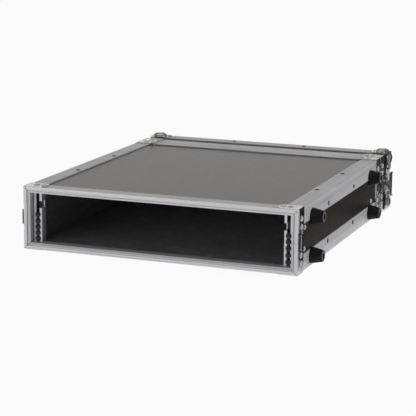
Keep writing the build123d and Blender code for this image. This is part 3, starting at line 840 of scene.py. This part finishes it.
class RACKCASE_OT_side_fixings(bpy.types.Operator):
    """Adds the rivets of the rails, keepers, latch plates and handle plate, and the latch plates' beads"""

    bl_idname = "rackcase.side_fixings"
    bl_label = "Add Side Fixings"

    def execute(self, context):
        size = sizes()
        rails, keepers, plates, ridges = [], [], [], []
        for side, word in ((-1, "left"), (1, "right")):
            for depth in RAIL_RIVET_DEPTHS:
                for level in RAIL_RIVET_LEVELS:
                    place = (side * BOARD_FACE, CASE_FRONT + depth, CASE_UNDER + level)
                    rails.append((place, (side, 0, 0)))
            for y in (CASE_FRONT + size.keeper_rivet_setback, BODY_REAR - size.keeper_rivet_setback):
                for off in (-size.keeper_rivet_spread, size.keeper_rivet_spread):
                    place = (side * (CASE_SIDE + BRACE_SHEET), y, CASE_MIDDLE + off)
                    keepers.append((place, (side, 0, 0)))
            low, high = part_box(f"latch_plate_{word}")
            face = CASE_SIDE + PLATE_SHEET
            plates += plate_places(low, high, size.latch_rivet_inset, side, face)
            for z in (low.z + size.bead_inset, high.z - size.bead_inset):
                ridges.append(((side * face, (low.y + high.y) / 2, z), side))
        small, rise = size.small_rivet * PLATE_RIVET_SHARE, size.small_rivet_rise
        fixings("rivets_rails", "case", rails, size.rail_rivet, size.rail_rivet_rise)
        fixings("rivets_keepers", "case", keepers, small, rise)
        fixings("rivets_latch_plates", "rear_lid", plates, small, rise)
        reach = high.y - low.y - 2 * size.bead_end
        beads("beads_latch_plates", "rear_lid", ridges, reach, size.bead_width, size.bead_rise)
        low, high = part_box("handle_plate")
        screws = plate_places(low, high, size.handle_rivet_inset, -1, BOARD_FACE + PLATE_SHEET)
        fixings("rivets_handle_plate", "case", screws, size.small_rivet, rise)
        return {"FINISHED"}


class RACKCASE_OT_stage(bpy.types.Operator):
    """Adds the floor, the lamps, the world and the camera"""

    bl_idname = "rackcase.stage"
    bl_label = "Add Studio"

    def execute(self, context):
        make_floor()
        make_lamps()
        make_world(context.scene)
        make_camera(context.scene)
        context.scene.view_settings.view_transform = "Standard"
        return {"FINISHED"}


def mixed_shader(tree, factor, first, second):
    """Mixes the shaders of two nodes by a factor; returns the new node."""
    node = tree.nodes.new("ShaderNodeMixShader")
    tree.links.new(factor, node.inputs[0])
    tree.links.new(first.outputs[0], node.inputs[1])
    tree.links.new(second.outputs[0], node.inputs[2])
    return node


def mirror_rays(tree, path):
    """1 for the rays that a shiny or clear surface sends on, from a Light Path node."""
    glossy, clear = path.outputs["Is Glossy Ray"], path.outputs["Is Transmission Ray"]
    return math_node(tree, "MAXIMUM", glossy, clear)


def make_floor():
    """A wide pale floor, nearly white to the camera and in mirrors, with a faint shadow of the case.

    In mirrors it ends a little beyond the case's right side, so that the side stays dark.
    """
    mesh = bmesh.new()
    bmesh.ops.create_grid(mesh, x_segments=1, y_segments=1, size=FLOOR_SIZE)
    data = bpy.data.meshes.new("studio_floor")
    mesh.to_mesh(data)
    mesh.free()
    floor = bpy.data.objects.new("studio_floor", data)
    bpy.context.collection.objects.link(floor)
    finish = bpy.data.materials.new("Studio floor")
    finish.use_nodes = True
    tree = finish.node_tree
    tree.nodes.clear()
    out = tree.nodes.new("ShaderNodeOutputMaterial")
    plain = add_node(tree, "ShaderNodeBsdfDiffuse", Color=(*colours().floor, 1.0))
    glow = add_node(tree, "ShaderNodeEmission", Strength=WHITE)
    clear = tree.nodes.new("ShaderNodeBsdfTransparent")
    path = tree.nodes.new("ShaderNodeLightPath")
    mirrored = mirror_rays(tree, path)
    seen = math_node(tree, "MAXIMUM", path.outputs["Is Camera Ray"], mirrored)
    beyond = span(tree, place_parts(tree)["X"], TABLE_EDGE_START, TABLE_EDGE_END, 0.0, 1.0)
    white = mixed_shader(tree, math_node(tree, "MULTIPLY", seen, FLOOR_GLOW), plain, glow)
    edge = mixed_shader(tree, math_node(tree, "MULTIPLY", mirrored, beyond), white, clear)
    tree.links.new(edge.outputs[0], out.inputs["Surface"])
    data.materials.append(finish)


def softbox(name, place, target, width, height, power):
    """An area lamp aimed at a point."""
    data = bpy.data.lights.new(name, "AREA")
    data.shape = "RECTANGLE"
    data.size, data.size_y = width, height
    data.energy = power
    lamp = bpy.data.objects.new(name, data)
    bpy.context.collection.objects.link(lamp)
    lamp.location = place
    lamp.rotation_mode = "QUATERNION"
    lamp.rotation_quaternion = (Vector(target) - Vector(place)).to_track_quat("-Z", "Y")
    return lamp


def make_lamps():
    """Large softboxes from the front left and the right, unseen in mirrors, and a weak one overhead."""
    ahead = softbox("front_softbox", (-1.1, -3.1, 0.40), (0, 0, 0.05), width=3.8, height=1.2, power=76.0)
    ahead.visible_glossy = False
    side = softbox("right_softbox", (2.7, 0.6, 0.7), (0, 0, 0.05), width=2.0, height=1.8, power=68.0)
    side.visible_glossy = False
    softbox("overhead_softbox", (-0.4, 0.6, 2.6), (0, 0, 0), width=2.6, height=2.2, power=5.0)


def make_world(scene):
    """White to the camera; mirrors see a pale studio with two dark screens on the right."""
    world = bpy.data.worlds.new("Studio")
    scene.world = world
    world.use_nodes = True
    tree = world.node_tree
    tree.nodes.clear()
    out = tree.nodes.new("ShaderNodeOutputWorld")
    ambient = add_node(tree, "ShaderNodeBackground", Color=(1, 1, 1, 1), Strength=AMBIENT)
    white = add_node(tree, "ShaderNodeBackground", Color=(1, 1, 1, 1), Strength=WHITE)
    room = add_node(tree, "ShaderNodeBackground")
    place = tree.nodes.new("ShaderNodeTexCoord")
    parts = tree.nodes.new("ShaderNodeSeparateXYZ")
    tree.links.new(place.outputs["Generated"], parts.inputs[0])
    depth = span(tree, parts.outputs["Y"], *STUDIO_DEPTH)
    ceiling = span(tree, parts.outputs["Z"], *STUDIO_CEILING)
    shade = span(tree, parts.outputs["X"], *STUDIO_RIGHT)
    for direction in SCREENS:
        towards = tree.nodes.new("ShaderNodeVectorMath")
        towards.operation = "DOT_PRODUCT"
        towards.inputs[1].default_value = direction
        tree.links.new(place.outputs["Generated"], towards.inputs[0])
        screen = span(tree, towards.outputs["Value"], *SCREEN_FADE)
        shade = math_node(tree, "MINIMUM", shade, screen)
    warmth = span(tree, parts.outputs["Y"], *STUDIO_WARMTH)
    tint = shades(tree, warmth, [(0.0, COOL_WALL), (1.0, WARM_WALL)])
    tree.links.new(tint, room.inputs["Color"])
    walls = math_node(tree, "MULTIPLY", depth, shade)
    tree.links.new(math_node(tree, "MULTIPLY", walls, ceiling), room.inputs["Strength"])
    path = tree.nodes.new("ShaderNodeLightPath")
    mirrored = mixed_shader(tree, mirror_rays(tree, path), ambient, room)
    seen = mixed_shader(tree, path.outputs["Is Camera Ray"], mirrored, white)
    tree.links.new(seen.outputs[0], out.inputs["Surface"])


def make_camera(scene):
    """The camera at the photograph's angle."""
    right = Vector(CAMERA_RIGHT).normalized()
    back = -Vector(CAMERA_AHEAD).normalized()
    up = back.cross(right).normalized()
    turn = Matrix((right, up, back)).transposed().to_4x4()
    data = bpy.data.cameras.new("camera")
    data.sensor_width = 36.0
    data.lens = CAMERA_LENS
    camera = bpy.data.objects.new("camera", data)
    scene.collection.objects.link(camera)
    camera.matrix_world = Matrix.Translation(CAMERA_PLACE) @ turn
    scene.camera = camera


class RACKCASE_PT_panel(bpy.types.Panel):
    """Lists the steps that dress the case"""

    bl_idname = "RACKCASE_PT_panel"
    bl_label = "Rack Flight Case"
    bl_space_type = "VIEW_3D"
    bl_region_type = "UI"
    bl_category = "Rack Case"

    def draw(self, context):
        layout = self.layout
        for step in STEPS:
            layout.operator(step.bl_idname)
        for group in (context.scene.rack_case_sizes, context.scene.rack_case_colours):
            box = layout.box()
            for name in group.__annotations__:
                box.prop(group, name)


STEPS = (
    RACKCASE_OT_boards,
    RACKCASE_OT_aluminium,
    RACKCASE_OT_plated,
    RACKCASE_OT_rubber,
    RACKCASE_OT_screws,
    RACKCASE_OT_brace_rivets,
    RACKCASE_OT_angle_rivets,
    RACKCASE_OT_corner_rivets,
    RACKCASE_OT_side_fixings,
    RACKCASE_OT_stage,
)
CLASSES = (RackCaseSizes, RackCaseColours, *STEPS, RACKCASE_PT_panel)


def register():
    """Registers the classes and the scene's settings."""
    for item in CLASSES:
        bpy.utils.register_class(item)
    bpy.types.Scene.rack_case_sizes = bpy.props.PointerProperty(type=RackCaseSizes)
    bpy.types.Scene.rack_case_colours = bpy.props.PointerProperty(type=RackCaseColours)


def unregister():
    """Takes the settings and classes away again."""
    del bpy.types.Scene.rack_case_colours
    del bpy.types.Scene.rack_case_sizes
    for item in reversed(CLASSES):
        bpy.utils.unregister_class(item)


def main():
    """Registers the add-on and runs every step."""
    register()
    for step in STEPS:
        group, name = step.bl_idname.split(".")
        getattr(getattr(bpy.ops, group), name)()


if __name__ == "__main__":
    main()
